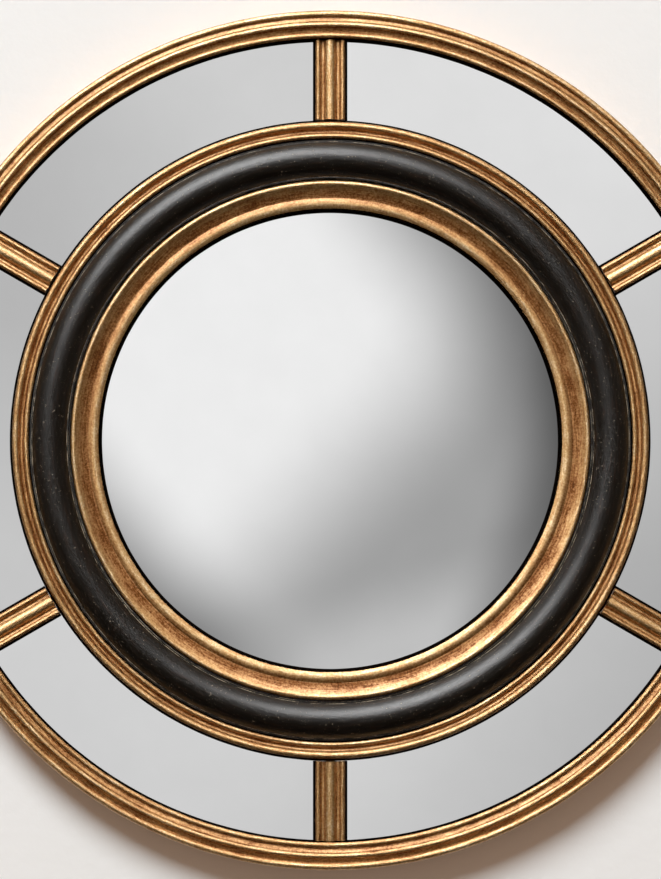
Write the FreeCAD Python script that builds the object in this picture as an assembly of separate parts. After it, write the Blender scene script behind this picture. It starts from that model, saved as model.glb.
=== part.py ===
import FreeCAD, Part
import math
import os

# A convex butler's mirror that hangs on a wall. A domed glass sits in a gilt slip, inside a black
# cushion ring and a gilt band. Six flat panes fill the space out to a gilt rim, with a reeded bar
# over each joint. Behind them are a board, a cover, screws and two hinged hanging rings.
#
# Millimetres, +Z up. The wall is the plane y = 0 and the mirror faces -Y. The origin is the centre
# of the rim's rear face. A depth is a distance in front of the wall, so y = -depth. Angles run
# clockwise from 12 o'clock, as seen from the front.

# Clearances
joint_gap = 0.3        # between pieces that are let into each other
screw_gap = 0.25       # all round a screw in its hole
hinge_gap = 0.05       # all round the hinge wire in its eye

# Convex glass
glass_diameter = 350.0
glass_thickness = 3.0
glass_curve_radius = 600.0
glass_cover = 8.0      # how far the slip covers the glass's edge
packing_width = 12.0

# Depths of the stack, from the wall forwards
recess_depth = 8.0
board_thickness = 9.0
pane_thickness = 3.0
cover_thickness = 3.0

# Sight slip, from the glass outwards
slip_wall_height = 4.0         # the upright wall that meets the glass
slip_inner_nose_width = 4.6
slip_inner_nose_rise = 1.7
slip_cavetto_width = 9.6
slip_cavetto_sink = 2.6
slip_cavetto_climb = 1.0
slip_fillet_width = 1.2
slip_outer_nose_width = 5.2
slip_outer_nose_rise = 2.4

# Black cushion ring
cushion_quirk_width = 1.0
cushion_quirk_height = 4.0     # above the front of the panes
cushion_arris_width = 1.0
cushion_arris_height = 2.5     # above the quirk
cushion_crown_width = 25.2
cushion_crown_rise = 7.5

# Gilt band, from the cushion outwards
band_bead_width = 4.0
band_bead_rise = 1.9
band_hollow_width = 4.6
band_hollow_sink = 1.7
band_nose_width = 3.7
band_nose_rise = 1.7
band_foot_width = 1.9
band_foot_height = 1.4
band_wall_height = 5.0         # from the panes to where the moulding springs
band_body_width = 6.6          # the part that stands on the board

# Flat panes and the bars between them
bar_count = 6
pane_sight_width = 57.9        # from the band's foot to the rim
bar_nose_width = 3.6
bar_nose_rise = 1.5
bar_hollow_width = 3.2
bar_hollow_sink = 0.9
bar_bead_width = 7.6
bar_bead_rise = 2.0
bar_splay = 1.8                # how far each side spreads below the moulding
bar_edge_height = 0.8
bar_side_height = 2.4          # from the panes to where the moulding springs
bar_tongue_width = 6.0

# Outer rim, from the panes outwards
rim_inner_nose_width = 4.4
rim_inner_nose_rise = 1.9
rim_hollow_width = 4.15
rim_hollow_sink = 1.6
rim_bead_width = 4.6
rim_bead_rise = 2.2
rim_outer_nose_width = 3.2
rim_outer_nose_rise = 1.55
rim_wall_height = 5.0          # from the panes to where the moulding springs
rim_pane_cover = 7.0           # how far the rim covers the panes
rim_shoulder_width = 6.5       # where the board is screwed
rim_back_chamfer = 2.0

# Back cover
cover_overlap = 14.0           # onto the board, all round the bore

# Screws
screw_head_radius = 3.3
screw_shank_radius = 1.6
screw_tip_length = 2.5
rim_screw_count = 12
rim_screw_length = 14.0
band_screw_count = 6
band_screw_length = 14.0
cushion_screw_count = 6
cushion_screw_length = 18.0
bar_screw_length = 13.5
bar_screw_inset = 14.0         # from each end of a bar
cover_screw_count = 8
cover_screw_length = 11.0
hanger_screw_length = 10.0

# Strap hangers and their rings
hanger_angle = 48.0
strap_width = 14.0
strap_layer = 1.2
strap_length = 38.0            # below the hinge
strap_corner_radius = 5.0
strap_fold_length = 7.0        # from the hinge to where the two layers meet
strap_screw_drops = (9.5, 29.0)
hoop_wire_radius = 1.5
hoop_half_width = 11.0         # to the wire's centre
hoop_drop = 18.0               # from the hinge to the wire's centre at the foot of the loop
hoop_corner_radius = 3.5

# Radii worked out from the centre outwards
glass_radius = glass_diameter / 2
glass_bore_radius = glass_radius + 1.0
sight_radius = glass_radius - glass_cover
slip_outer_radius = (sight_radius + slip_inner_nose_width + slip_cavetto_width
                     + slip_fillet_width + slip_outer_nose_width)
cushion_inner_radius = slip_outer_radius + joint_gap
cushion_width = cushion_crown_width + 2 * (cushion_quirk_width + cushion_arris_width)
cushion_outer_radius = cushion_inner_radius + cushion_width
band_inner_radius = cushion_outer_radius + joint_gap
band_wall_radius = band_inner_radius + band_bead_width + band_hollow_width + band_nose_width
band_foot_radius = band_wall_radius + band_foot_width
band_body_radius = band_inner_radius + band_body_width
rim_inner_radius = band_foot_radius + pane_sight_width
rim_outer_radius = (rim_inner_radius + rim_inner_nose_width + 2 * rim_hollow_width
                    + rim_bead_width + rim_outer_nose_width)
rim_rebate_radius = rim_inner_radius + rim_pane_cover
board_rebate_radius = rim_rebate_radius + rim_shoulder_width
pane_inner_radius = band_body_radius + joint_gap
pane_outer_radius = rim_rebate_radius - joint_gap
board_radius = board_rebate_radius - joint_gap
cover_radius = glass_bore_radius + cover_overlap

# Depths worked out from the wall forwards
cover_back = recess_depth - cover_thickness
board_front = recess_depth + board_thickness
pane_front = board_front + pane_thickness
rim_spring = pane_front + rim_wall_height
band_spring = pane_front + band_wall_height
bar_spring = pane_front + bar_side_height
quirk_depth = pane_front + cushion_quirk_height
arris_depth = quirk_depth + cushion_arris_height
slip_inner_spring = pane_front + slip_wall_height
slip_outer_spring = slip_inner_spring + slip_cavetto_climb


def sagitta(curve_radius, radius):
    """How far a sphere falls back from its apex at this distance from its axis."""
    return curve_radius - math.sqrt(curve_radius ** 2 - radius ** 2)


# The dome just clears the slip's lip at the sight edge.
glass_apex = pane_front - joint_gap + sagitta(glass_curve_radius, sight_radius)
glass_back_radius = glass_curve_radius - glass_thickness
glass_edge_back = glass_apex - glass_thickness - sagitta(glass_back_radius, glass_radius)

# The hinge stands off the board by its own eye.
eye_radius = hoop_wire_radius + hinge_gap
eye_outer_radius = eye_radius + strap_layer
strap_thickness = 2 * strap_layer
hinge_depth = recess_depth - eye_outer_radius
hanger_pitch_radius = (cover_radius + board_rebate_radius) / 2
hinge_x = hanger_pitch_radius * math.sin(math.radians(hanger_angle))
hinge_z = hanger_pitch_radius * math.cos(math.radians(hanger_angle))
hoop_rest_standoff = strap_thickness + joint_gap + hoop_wire_radius - eye_outer_radius
hoop_rest_angle = math.degrees(math.asin(hoop_rest_standoff / hoop_drop))

ORIGIN = FreeCAD.Vector(0, 0, 0)
FORWARD = FreeCAD.Vector(0, -1, 0)
ACROSS = FreeCAD.Vector(1, 0, 0)
UP = FreeCAD.Vector(0, 0, 1)


def section_point(radius, depth):
    """A point of a turned section, drawn in the plane through the axis."""
    return FreeCAD.Vector(radius, -depth, 0)


def clock_point(angle, radius, depth):
    """A point at a clock angle and radius."""
    turn = math.radians(angle)
    return FreeCAD.Vector(radius * math.sin(turn), -depth, radius * math.cos(turn))


def clock_turned(shape, angle):
    """A copy turned clockwise about the mirror's axis."""
    copy = shape.copy()
    copy.rotate(ORIGIN, FreeCAD.Vector(0, 1, 0), angle)
    return copy


def cylinder(radius, back, front):
    """A disc on the mirror's axis between two depths."""
    return Part.makeCylinder(radius, front - back, FreeCAD.Vector(0, -back, 0), FORWARD)


def moulded_edges(start, members):
    """Edges of a moulding, from its outer side inwards.

    Each member is its width, its rise (a hollow's is negative and a fillet's is 0) and how much
    further forward it ends than it starts.
    """
    edges = []
    point = start
    for width, rise, climb in members:
        end = point + FreeCAD.Vector(-width, -climb, 0)
        if rise:
            middle = (point + end) * 0.5 + FreeCAD.Vector(0, -rise, 0)
            edges.append(Part.Arc(point, middle, end).toShape())
        else:
            edges.append(Part.LineSegment(point, end).toShape())
        point = end
    return edges, point


def moulded_face(start, members, corners):
    """A section whose front is a moulding and whose other sides are straight."""
    edges, end = moulded_edges(start, members)
    outline = [end] + corners + [start]
    for first, second in zip(outline, outline[1:]):
        edges.append(Part.LineSegment(first, second).toShape())
    return Part.Face(Part.Wire(edges))


def turned(face):
    """A section turned once round the mirror's axis."""
    return face.revolve(ORIGIN, FORWARD, 360)


def screw_profile(length, extra):
    """A countersunk screw's half section, larger all round by extra."""
    head = screw_head_radius + extra
    shank = screw_shank_radius + extra
    tip = length + extra
    corners = [
        ORIGIN,
        FreeCAD.Vector(head, 0, 0),
        FreeCAD.Vector(shank, shank - head, 0),
        FreeCAD.Vector(shank, screw_tip_length - tip, 0),
        FreeCAD.Vector(0, -tip, 0),
        ORIGIN,
    ]
    return Part.Face(Part.makePolygon(corners))


def screw_at(place, length, extra=0.0):
    """A screw, or its hole, that enters from behind with its head flush at this place."""
    screw = screw_profile(length, extra).revolve(ORIGIN, FORWARD, 360)
    screw.translate(place)
    return screw


def screw_places(count, radius, depth, first_angle):
    """Places evenly round a circle."""
    return [clock_point(first_angle + 360 / count * i, radius, depth) for i in range(count)]


def screws(places, length):
    """The screws of one group, as separate solids."""
    return Part.makeCompound([screw_at(place, length) for place in places])


def drilled(shape, places, length):
    """A piece with the holes of one group of screws."""
    return shape.cut([screw_at(place, length, screw_gap) for place in places])


half_step = 180 / bar_count
rim_screw_places = screw_places(
    rim_screw_count, rim_rebate_radius + rim_shoulder_width / 2, recess_depth,
    180 / rim_screw_count)
band_screw_places = screw_places(
    band_screw_count, band_inner_radius + band_body_width / 2, recess_depth, half_step)
cushion_screw_places = screw_places(
    cushion_screw_count, cushion_inner_radius + cushion_width / 2, recess_depth, half_step)
cover_screw_places = screw_places(
    cover_screw_count, glass_bore_radius + cover_overlap / 2, cover_back, 180 / cover_screw_count)
bar_screw_radii = (band_foot_radius + bar_screw_inset, rim_inner_radius - bar_screw_inset)
bar_angles = [360 / bar_count * i for i in range(bar_count)]


def bar_screws_at(angle):
    """The places of one bar's screws, near its two ends."""
    return [clock_point(angle, radius, recess_depth) for radius in bar_screw_radii]


bar_screw_places = [place for angle in bar_angles for place in bar_screws_at(angle)]


def hanger_screw_places(side):
    """Screws down the middle of one strap; side is 1 on the right and -1 on the left."""
    depth = recess_depth - strap_thickness
    return [FreeCAD.Vector(side * hinge_x, -depth, hinge_z - drop) for drop in strap_screw_drops]


all_hanger_screw_places = hanger_screw_places(-1) + hanger_screw_places(1)


def outer_rim():
    """The gilt rim, rebated behind for the panes and more widely for the board."""
    members = [
        (rim_outer_nose_width, rim_outer_nose_rise, 0),
        (rim_hollow_width, -rim_hollow_sink, 0),
        (rim_bead_width, rim_bead_rise, 0),
        (rim_hollow_width, -rim_hollow_sink, 0),
        (rim_inner_nose_width, rim_inner_nose_rise, 0),
    ]
    corners = [
        section_point(rim_inner_radius, pane_front),
        section_point(rim_rebate_radius, pane_front),
        section_point(rim_rebate_radius, board_front),
        section_point(board_rebate_radius, board_front),
        section_point(board_rebate_radius, 0),
        section_point(rim_outer_radius - rim_back_chamfer, 0),
        section_point(rim_outer_radius, rim_back_chamfer),
    ]
    face = moulded_face(section_point(rim_outer_radius, rim_spring), members, corners)
    return drilled(turned(face), rim_screw_places, rim_screw_length)


def inner_gilt_band():
    """The gilt band. Its lip covers the panes' inner edges and ends in a splayed foot."""
    members = [
        (band_nose_width, band_nose_rise, 0),
        (band_hollow_width, -band_hollow_sink, 0),
        (band_bead_width, band_bead_rise, 0),
    ]
    corners = [
        section_point(band_inner_radius, board_front),
        section_point(band_body_radius, board_front),
        section_point(band_body_radius, pane_front),
        section_point(band_foot_radius, pane_front),
        section_point(band_foot_radius, pane_front + band_foot_height),
        section_point(band_wall_radius, pane_front + band_foot_height + band_foot_width),
    ]
    face = moulded_face(section_point(band_wall_radius, band_spring), members, corners)
    return drilled(turned(face), band_screw_places, band_screw_length)


def ebonised_ring():
    """The black ring: a crowned cushion between two thin arrises, with a sunk quirk each side."""
    members = [
        (cushion_quirk_width, 0, 0),
        (0, 0, cushion_arris_height),
        (cushion_arris_width, 0, 0),
        (cushion_crown_width, cushion_crown_rise, 0),
        (cushion_arris_width, 0, 0),
        (0, 0, -cushion_arris_height),
        (cushion_quirk_width, 0, 0),
    ]
    corners = [
        section_point(cushion_inner_radius, board_front),
        section_point(cushion_outer_radius, board_front),
    ]
    face = moulded_face(section_point(cushion_outer_radius, quirk_depth), members, corners)
    return drilled(turned(face), cushion_screw_places, cushion_screw_length)


def sight_slip():
    """The gilt slip whose lip holds the convex glass."""
    members = [
        (slip_outer_nose_width, slip_outer_nose_rise, 0),
        (slip_fillet_width, 0, 0),
        (slip_cavetto_width, -slip_cavetto_sink, -slip_cavetto_climb),
        (slip_inner_nose_width, slip_inner_nose_rise, 0),
    ]
    corners = [
        section_point(sight_radius, pane_front),
        section_point(glass_bore_radius, pane_front),
        section_point(glass_bore_radius, board_front),
        section_point(slip_outer_radius, board_front),
    ]
    face = moulded_face(section_point(slip_outer_radius, slip_outer_spring), members, corners)
    return turned(face)


def bar_cap_face():
    """A glazing bar's reeded section, with splayed sides."""
    members = [
        (bar_nose_width, bar_nose_rise, 0),
        (bar_hollow_width, -bar_hollow_sink, 0),
        (bar_bead_width, bar_bead_rise, 0),
        (bar_hollow_width, -bar_hollow_sink, 0),
        (bar_nose_width, bar_nose_rise, 0),
    ]
    half_width = bar_nose_width + bar_hollow_width + bar_bead_width / 2
    half_base = half_width + bar_splay
    edge_depth = pane_front + bar_edge_height
    corners = [
        section_point(-half_base, edge_depth),
        section_point(-half_base, pane_front),
        section_point(half_base, pane_front),
        section_point(half_base, edge_depth),
    ]
    return moulded_face(section_point(half_width, bar_spring), members, corners)


def glazing_bar(angle):
    """A T-shaped bar: its cap covers the panes' edges and its tongue parts them."""
    reach = UP * rim_outer_radius
    cap = bar_cap_face().extrude(reach)
    cap = cap.common(cylinder(rim_inner_radius - joint_gap, 0, glass_apex))
    cap = cap.cut(cylinder(band_foot_radius + joint_gap, 0, glass_apex))
    tongue = Part.makeBox(
        bar_tongue_width, pane_thickness, rim_outer_radius,
        FreeCAD.Vector(-bar_tongue_width / 2, -pane_front, 0))
    tongue = tongue.common(cylinder(pane_outer_radius, 0, glass_apex))
    tongue = tongue.cut(cylinder(pane_inner_radius, 0, glass_apex))
    bar = clock_turned(cap.fuse(tongue).removeSplitter(), angle)
    return drilled(bar, bar_screws_at(angle), bar_screw_length)


def flat_pane(angle):
    """A flat mirror pane: a sector of a ring, set back from the bars' tongues on both sides."""
    side_gap = bar_tongue_width / 2 + joint_gap
    inner_trim = math.degrees(math.asin(side_gap / pane_inner_radius))
    outer_trim = math.degrees(math.asin(side_gap / pane_outer_radius))
    inner_start = clock_point(angle - half_step + inner_trim, pane_inner_radius, board_front)
    inner_end = clock_point(angle + half_step - inner_trim, pane_inner_radius, board_front)
    outer_start = clock_point(angle - half_step + outer_trim, pane_outer_radius, board_front)
    outer_end = clock_point(angle + half_step - outer_trim, pane_outer_radius, board_front)
    edges = [
        Part.Arc(inner_start, clock_point(angle, pane_inner_radius, board_front), inner_end).toShape(),
        Part.LineSegment(inner_end, outer_end).toShape(),
        Part.Arc(outer_end, clock_point(angle, pane_outer_radius, board_front), outer_start).toShape(),
        Part.LineSegment(outer_start, inner_start).toShape(),
    ]
    return Part.Face(Part.Wire(edges)).extrude(FORWARD * pane_thickness)


def convex_glass():
    """A spherical cap of even thickness, cut square at its edge."""
    front = Part.makeSphere(glass_curve_radius, FreeCAD.Vector(0, glass_curve_radius - glass_apex, 0))
    back = Part.makeSphere(glass_back_radius, FreeCAD.Vector(0, glass_curve_radius - glass_apex, 0))
    blank = cylinder(glass_radius, 0, glass_apex + glass_thickness)
    return blank.common(front).cut(back)


def glass_packing():
    """The ring that presses the glass against the slip, between the glass and the cover."""
    front = glass_edge_back - joint_gap
    outer = cylinder(glass_radius, recess_depth, front)
    return outer.cut(cylinder(glass_radius - packing_width, recess_depth, front))


def back_board():
    """The board behind the panes, with a bore that the glass goes in through."""
    board = cylinder(board_radius, recess_depth, board_front)
    board = board.cut(cylinder(glass_bore_radius, 0, pane_front))
    board = drilled(board, rim_screw_places, rim_screw_length)
    board = drilled(board, band_screw_places, band_screw_length)
    board = drilled(board, cushion_screw_places, cushion_screw_length)
    board = drilled(board, bar_screw_places, bar_screw_length)
    board = drilled(board, cover_screw_places, cover_screw_length)
    return drilled(board, all_hanger_screw_places, hanger_screw_length)


def back_cover():
    """The round cover that closes the bore."""
    cover = cylinder(cover_radius, cover_back, recess_depth)
    return drilled(cover, cover_screw_places, cover_screw_length)


def hanger_strap(side):
    """A strap folded round the hinge wire, with both layers screwed to the board."""
    def strap_point(standoff, rise):
        return FreeCAD.Vector(0, standoff, rise)

    eye = strap_point(eye_outer_radius, 0)
    fold = strap_point(strap_thickness, -strap_fold_length)
    toward_eye = eye - fold
    spread = math.asin(eye_outer_radius / toward_eye.Length)
    lean = math.atan2(toward_eye.y, toward_eye.z) + spread
    run = toward_eye.Length * math.cos(spread)
    tangent = fold + FreeCAD.Vector(0, math.sin(lean), math.cos(lean)) * run
    foot = strap_point(0, -strap_length)
    crown = strap_point(eye_outer_radius, eye_outer_radius)
    edges = [
        Part.LineSegment(foot, strap_point(0, 0)).toShape(),
        Part.Arc(strap_point(0, 0), crown, tangent).toShape(),
        Part.LineSegment(tangent, fold).toShape(),
        Part.LineSegment(fold, strap_point(strap_thickness, -strap_length)).toShape(),
        Part.LineSegment(strap_point(strap_thickness, -strap_length), foot).toShape(),
    ]
    strap = Part.Face(Part.Wire(edges)).extrude(ACROSS * strap_width)
    bore = Part.makeCylinder(eye_radius, strap_width, eye, ACROSS)
    strap = strap.cut(bore)
    corners = [
        edge for edge in strap.Edges
        if edge.BoundBox.ZLength < joint_gap and edge.BoundBox.XLength < joint_gap
        and edge.BoundBox.ZMax < joint_gap - strap_length
    ]
    strap = strap.makeFillet(strap_corner_radius, corners)
    strap.translate(FreeCAD.Vector(side * hinge_x - strap_width / 2, -recess_depth, hinge_z))
    return drilled(strap, hanger_screw_places(side), hanger_screw_length)


def hanger_hoop(side):
    """A bent wire loop. It hangs from its straight bar and lies against the strap."""
    half = hoop_half_width
    corner = hoop_corner_radius
    foot = half - hoop_drop
    slant = math.sqrt(0.5) * corner
    left_corner = FreeCAD.Vector(-half + corner - slant, 0, -corner + slant)
    right_corner = FreeCAD.Vector(half - corner + slant, 0, -corner + slant)
    left_top = FreeCAD.Vector(-half + corner, 0, 0)
    right_top = FreeCAD.Vector(half - corner, 0, 0)
    left_side = FreeCAD.Vector(-half, 0, -corner)
    right_side = FreeCAD.Vector(half, 0, -corner)
    left_foot = FreeCAD.Vector(-half, 0, foot)
    right_foot = FreeCAD.Vector(half, 0, foot)
    path = Part.Wire([
        Part.LineSegment(ORIGIN, right_top).toShape(),
        Part.Arc(right_top, right_corner, right_side).toShape(),
        Part.LineSegment(right_side, right_foot).toShape(),
        Part.Arc(right_foot, FreeCAD.Vector(0, 0, -hoop_drop), left_foot).toShape(),
        Part.LineSegment(left_foot, left_side).toShape(),
        Part.Arc(left_side, left_corner, left_top).toShape(),
        Part.LineSegment(left_top, ORIGIN).toShape(),
    ])
    section = Part.Wire(Part.makeCircle(hoop_wire_radius, ORIGIN, ACROSS))
    hoop = path.makePipeShell([section], True, False)
    hoop.rotate(ORIGIN, ACROSS, hoop_rest_angle)
    hoop.translate(FreeCAD.Vector(side * hinge_x, -hinge_depth, hinge_z))
    return hoop


def all_nodes():
    """Every piece of the mirror, under its own name."""
    nodes = {
        "outer_rim": outer_rim(),
        "inner_gilt_band": inner_gilt_band(),
        "ebonised_ring": ebonised_ring(),
        "sight_slip": sight_slip(),
        "convex_glass": convex_glass(),
        "glass_packing": glass_packing(),
        "back_board": back_board(),
        "back_cover": back_cover(),
        "hanger_strap_left": hanger_strap(-1),
        "hanger_strap_right": hanger_strap(1),
        "hanger_hoop_left": hanger_hoop(-1),
        "hanger_hoop_right": hanger_hoop(1),
        "rim_screws": screws(rim_screw_places, rim_screw_length),
        "band_screws": screws(band_screw_places, band_screw_length),
        "cushion_screws": screws(cushion_screw_places, cushion_screw_length),
        "bar_screws": screws(bar_screw_places, bar_screw_length),
        "cover_screws": screws(cover_screw_places, cover_screw_length),
        "hanger_screws": screws(all_hanger_screw_places, hanger_screw_length),
    }
    for number, angle in enumerate(bar_angles, start=1):
        nodes[f"glazing_bar_{number}"] = glazing_bar(angle)
        nodes[f"flat_pane_{number}"] = flat_pane(angle + half_step)
    return nodes


os.makedirs("parts", exist_ok=True)
for name, shape in all_nodes().items():
    shape.exportStep(f"parts/{name}.step")
    print(f"{name}: {len(shape.Solids)} solids, {shape.Volume:.1f} mm3, valid {shape.isValid()}")
print(f"rim diameter {2 * rim_outer_radius:.1f}, depth to the dome {glass_apex:.1f}")
print(f"hinges at x {hinge_x:.3f}, y {-hinge_depth:.3f}, z {hinge_z:.3f}, rest {hoop_rest_angle:.3f}")
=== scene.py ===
# %% [markdown]
# # Dressing a round butler's mirror
#
# The object is a wall mirror about 620 mm across. A domed glass sits in the middle, in a gilt slip.
# Round it run a black cushion ring and a gilt band, and six reeded bars cross the flat panes to a
# moulded gilt rim. The pieces already exist at their real size and place, and this lesson gives them
# their looks: it spins the mouldings again more finely, makes every finish, hangs the mirror on a
# plastered wall and lights it. It could all be painted on one mesh, but a maker works piece by piece
# and finish by finish, so the cells do too.

# %% The frame
import math

import bpy
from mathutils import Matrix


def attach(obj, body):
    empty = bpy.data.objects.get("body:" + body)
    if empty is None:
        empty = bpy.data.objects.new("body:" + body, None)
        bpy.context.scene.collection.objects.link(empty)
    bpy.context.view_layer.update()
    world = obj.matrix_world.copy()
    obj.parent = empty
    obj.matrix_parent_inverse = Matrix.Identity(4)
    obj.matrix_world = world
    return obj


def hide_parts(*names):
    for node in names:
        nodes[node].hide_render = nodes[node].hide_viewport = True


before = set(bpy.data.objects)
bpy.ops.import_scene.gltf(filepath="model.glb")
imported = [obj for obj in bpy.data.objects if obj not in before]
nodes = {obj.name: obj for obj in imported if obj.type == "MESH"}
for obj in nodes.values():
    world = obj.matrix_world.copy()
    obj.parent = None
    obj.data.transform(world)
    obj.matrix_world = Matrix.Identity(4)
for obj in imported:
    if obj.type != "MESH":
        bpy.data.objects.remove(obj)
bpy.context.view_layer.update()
print("pieces in the frame:", len(nodes))

# %% [markdown]
# ## Measures
#
# The frame is in metres, and a framer's drawing is in millimetres, so one value turns the one into
# the other. The mirror is turned about the Y axis: a ring's radius is the distance from that axis,
# and its depth is the distance in front of the wall, which is minus y. The radii below are where one
# moulding ends and the next begins, and the finishes use them as well as the shapes.

# %% Measures
MM = 0.001

BOARD_FRONT = 17.0
PANE_FRONT = 20.0
SIGHT_RADIUS = 167.0
SLIP_OUTER = 187.6
CUSHION_INNER = 187.9
CUSHION_OUTER = 217.1
BAND_INNER = 217.4
BAND_OUTER = 229.7
BAND_FOOT = 231.6
RIM_INNER = 289.5
RIM_OUTER = 310.0
BAR_HALF = 10.6
BAR_COUNT = 6

print("rim width in mm:", round(RIM_OUTER - RIM_INNER, 1))
print("cushion width in mm:", round(CUSHION_OUTER - CUSHION_INNER, 1))

# %% [markdown]
# ## Drawing a section
#
# A round frame is turned on a lathe from one section. In Blender the section is drawn as a chain of
# edges: a small plane is merged to a single point, straight lines are extruded from it, and curves are
# made by spinning the last point about the curve's centre. A curve tool could draw it too, but a spun
# arc has exactly the steps it is asked for, so every member comes out equally fine.

# %% Tools that draw a section
ARC_STEP = 0.45
FEWEST_STEPS = 4


def start_section(name, at):
    """A single point at a radius and a depth, in the plane z = 0, ready to be drawn onwards."""
    bpy.ops.object.select_all(action="DESELECT")
    bpy.ops.mesh.primitive_plane_add(size=MM)
    piece = bpy.context.object
    piece.name = name
    piece.data.name = name
    bpy.ops.object.mode_set(mode="EDIT")
    bpy.ops.mesh.select_all(action="SELECT")
    bpy.ops.mesh.merge(type="CENTER")
    bpy.ops.transform.translate(value=(at[0] * MM, -at[1] * MM, 0))
    return piece


def line_to(here, there):
    """A straight line from here to there, each a radius and a depth."""
    move = ((there[0] - here[0]) * MM, (here[1] - there[1]) * MM, 0)
    bpy.ops.mesh.extrude_region_move(TRANSFORM_OT_translate={"value": move})


def arc_to(here, there, rise):
    """An arc whose middle stands in front of the chord's by rise, or behind it where rise is negative."""
    chord = (there[0] - here[0], there[1] - here[1])
    middle = (chord[0] / 2, chord[1] / 2 + rise)
    chord_square = chord[0] ** 2 + chord[1] ** 2
    middle_square = middle[0] ** 2 + middle[1] ** 2
    double_area = 2 * (middle[0] * chord[1] - middle[1] * chord[0])

    # The centre of the circle through both ends and the middle, seen from here
    centre = (
        (chord[1] * middle_square - middle[1] * chord_square) / double_area,
        (middle[0] * chord_square - chord[0] * middle_square) / double_area,
    )

    # The turn is added up in two steps, so that it goes by way of the middle
    headings = [math.atan2(y - centre[1], x - centre[0]) for x, y in ((0, 0), middle, chord)]
    turn = sum(math.remainder(b - a, 2 * math.pi) for a, b in zip(headings, headings[1:]))
    arc_about((here[0] + centre[0], here[1] + centre[1]), turn, math.hypot(*centre))


def arc_about(centre, turn, curve_radius, step=ARC_STEP):
    """Spins the last point about a centre, in steps of an even length."""
    steps = max(FEWEST_STEPS, math.ceil(abs(turn) * curve_radius / step))
    bpy.ops.mesh.spin(
        steps=steps, angle=turn, center=(centre[0] * MM, -centre[1] * MM, 0), axis=(0, 0, 1))


def draw_moulding(start, members):
    """Draws members from the outer side inwards: each a width, a rise and how far it climbs."""
    here = start
    for width, rise, climb in members:
        there = (here[0] - width, here[1] + climb)
        if rise:
            arc_to(here, there, rise)
        else:
            line_to(here, there)
        here = there
    return here


print("an arc step in mm:", ARC_STEP)

# %% [markdown]
# ## Turning the rings
#
# Each ring is its moulding in front and a few straight cuts behind, where it is rebated for the panes
# and the board. The section is closed, spun once round the mirror's axis and merged where the spin
# meets itself. A real ring was finished by hand after turning: gesso is brushed on in coats and
# rubbed down, so no crest is quite even. A gentle displacement gives that. Its middle level is 1, the
# most that the pattern reaches, so it only takes material away and the ring keeps inside its true size.

# %% Turning
MERGE = 1e-6
SOFT_EDGE = math.radians(28)
RING_STEPS = 320
RIM_STEPS = 384
SWELL_SPACING = 14.0

# What shows for each piece of the frame: its own mesh, until a finer one stands for it
shown = dict(nodes)


def turn_section(steps):
    """Turns the section that is being drawn once round the mirror's axis."""
    bpy.ops.mesh.select_all(action="SELECT")
    bpy.ops.mesh.remove_doubles(threshold=MERGE)
    bpy.ops.mesh.spin(steps=steps, angle=2 * math.pi, center=(0, 0, 0), axis=(0, 1, 0))
    bpy.ops.mesh.select_all(action="SELECT")
    bpy.ops.mesh.remove_doubles(threshold=MERGE)
    bpy.ops.mesh.normals_make_consistent(inside=False)
    bpy.ops.object.mode_set(mode="OBJECT")


def rub_by_hand(piece, depth):
    """Makes a turned surface slightly uneven, by up to a depth."""
    swells = bpy.data.textures.new(f"swells_{piece.name}", "CLOUDS")
    swells.noise_scale = SWELL_SPACING * MM
    swells.noise_depth = 2
    uneven = piece.modifiers.new("uneven", "DISPLACE")
    uneven.texture = swells
    uneven.texture_coords = "LOCAL"
    uneven.mid_level = 1.0
    uneven.strength = depth * MM
    bpy.ops.object.modifier_apply(modifier=uneven.name)


def stand_for(piece, node):
    """Lets a piece stand for a piece of the frame, on the same body and in the same finish."""
    bpy.ops.object.shade_smooth_by_angle(angle=SOFT_EDGE)
    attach(piece, "mirror")
    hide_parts(node)
    shown[node] = piece
    faces = sum(len(face.vertices) - 2 for face in piece.data.polygons)
    print(piece.name, "triangles:", faces)


def turned_ring(name, node, start, members, corners, steps, swell):
    """A ring from its moulding, drawn from the outer side inwards, and the corners of its other sides."""
    piece = start_section(name, start)
    here = draw_moulding(start, members)
    for corner in list(corners) + [start]:
        line_to(here, corner)
        here = corner
    turn_section(steps)
    rub_by_hand(piece, swell)
    stand_for(piece, node)


# %% [markdown]
# ## The gilt rim
#
# The rim is the widest moulding: a nose, a hollow, a bead, a hollow and a nose. For each member it is
# enough to say how wide it is, how far its curve rises, and how far its inner edge stands in front of
# its outer one. It could be drawn point by point, but a framer names members too. The corners behind
# are the rebate over the panes' edges, the shoulder round the board and a chamfer at the wall.

# %% The gilt rim
PANE_COVER = 7.0
SHOULDER = 6.5
BACK_CHAMFER = 2.0
SPRING = 25.0
rebate = RIM_INNER + PANE_COVER

turned_ring(
    "moulded_rim", "outer_rim", (RIM_OUTER, SPRING),
    members=[(5.3, 1.9, 0), (3.0, -0.3, 1.2), (4.3, 1.3, 0), (3.3, -0.3, -1.2), (4.6, 1.9, 0)],
    corners=[(RIM_INNER, PANE_FRONT), (rebate, PANE_FRONT), (rebate, BOARD_FRONT),
             (rebate + SHOULDER, BOARD_FRONT), (rebate + SHOULDER, 0),
             (RIM_OUTER - BACK_CHAMFER, 0), (RIM_OUTER, BACK_CHAMFER)],
    steps=RIM_STEPS, swell=0.22)

# %% [markdown]
# ## The gilt band
#
# The band is a smaller hoop round the black ring, with a nose, a hollow and a bead. Its outer foot
# spreads over the panes' inner edges, and from there a short slope leads up to the moulding. It is
# drawn and turned in the same way as the rim.

# %% The gilt band
BAND_BODY = BAND_INNER + 6.6
FOOT_TOP = PANE_FRONT + 1.4

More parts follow.
